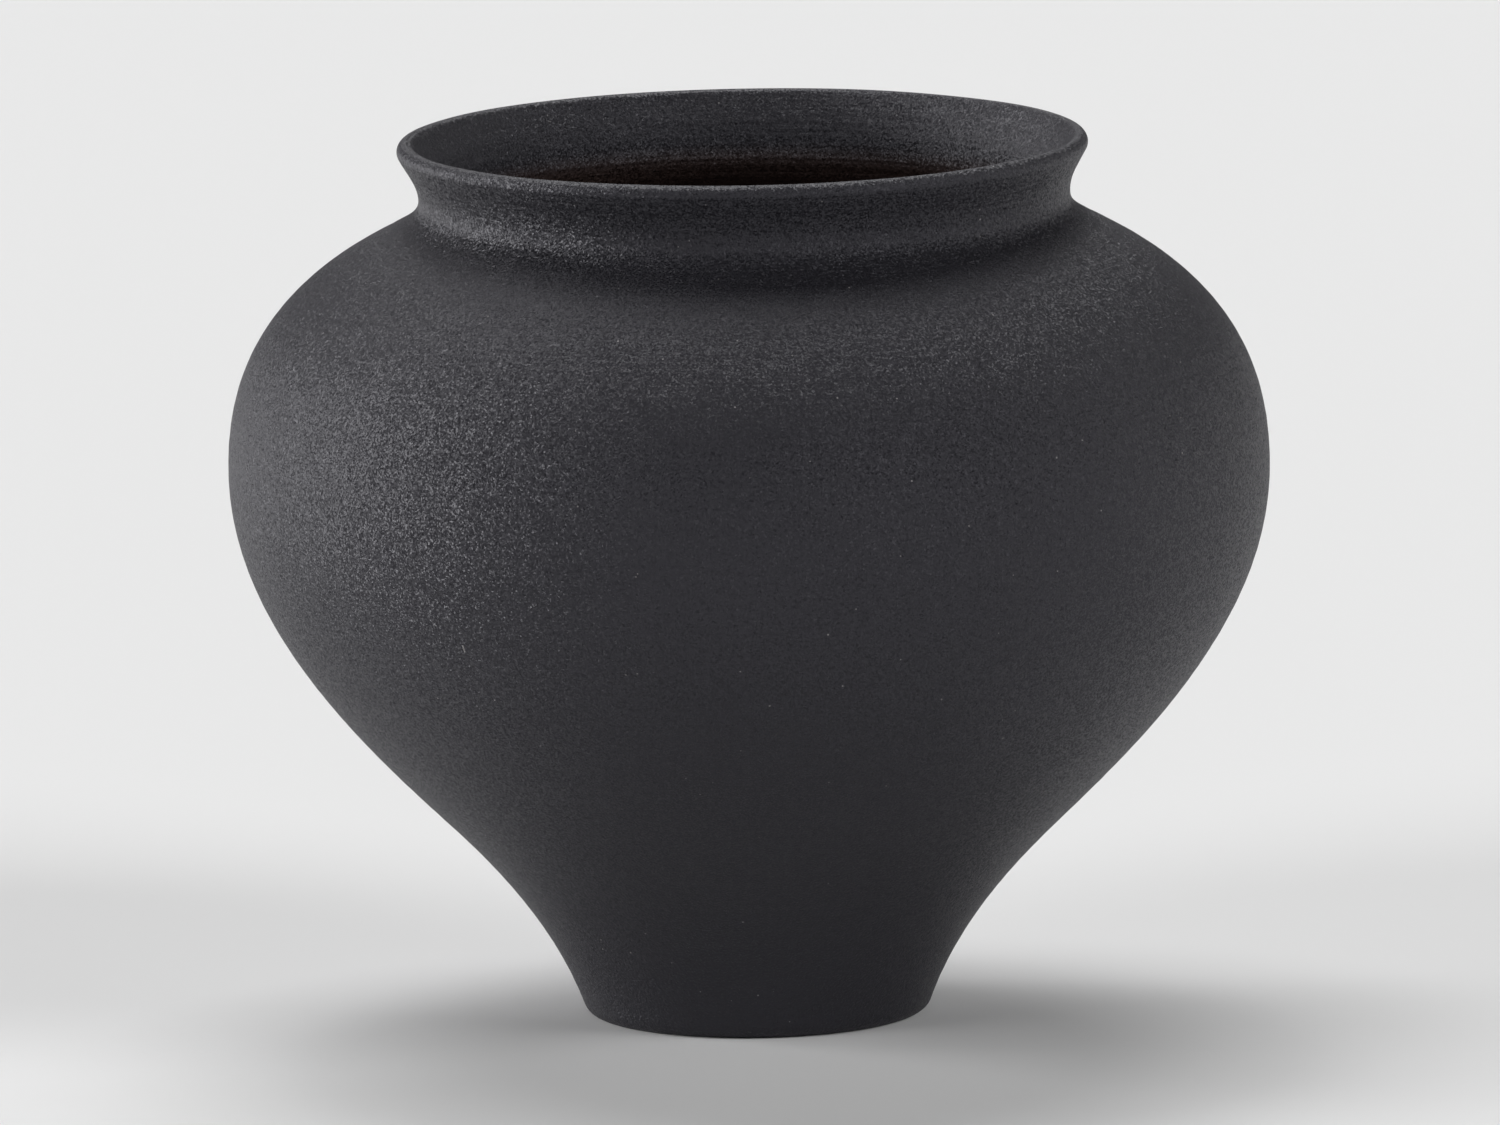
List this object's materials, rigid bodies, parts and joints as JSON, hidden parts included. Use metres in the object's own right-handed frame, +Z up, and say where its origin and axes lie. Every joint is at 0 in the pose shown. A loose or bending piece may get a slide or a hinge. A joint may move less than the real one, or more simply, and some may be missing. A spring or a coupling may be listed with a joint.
{
  "type": "clay jar",
  "caption": "Wide-shouldered matte black clay jar with a narrow foot, a full belly and a short flared collar, open at the top; holds stems, branches or dry goods.",
  "frame": {"origin": "middle of the foot, on the surface that the jar stands on", "axes": "+Z up along the jar's axis of revolution; X and Y level, the jar being round they are interchangeable"},
  "size_m": [0.3, 0.3, 0.255],
  "materials": {
    "black_clay": "matte"
  },
  "bodies": {
    "root": {"base_dish": "black_clay", "foot_wall": "black_clay", "lower_belly_wall": "black_clay", "upper_belly_wall": "black_clay", "shoulder_wall": "black_clay", "neck_collar": "black_clay"}
  },
  "joints": []
}
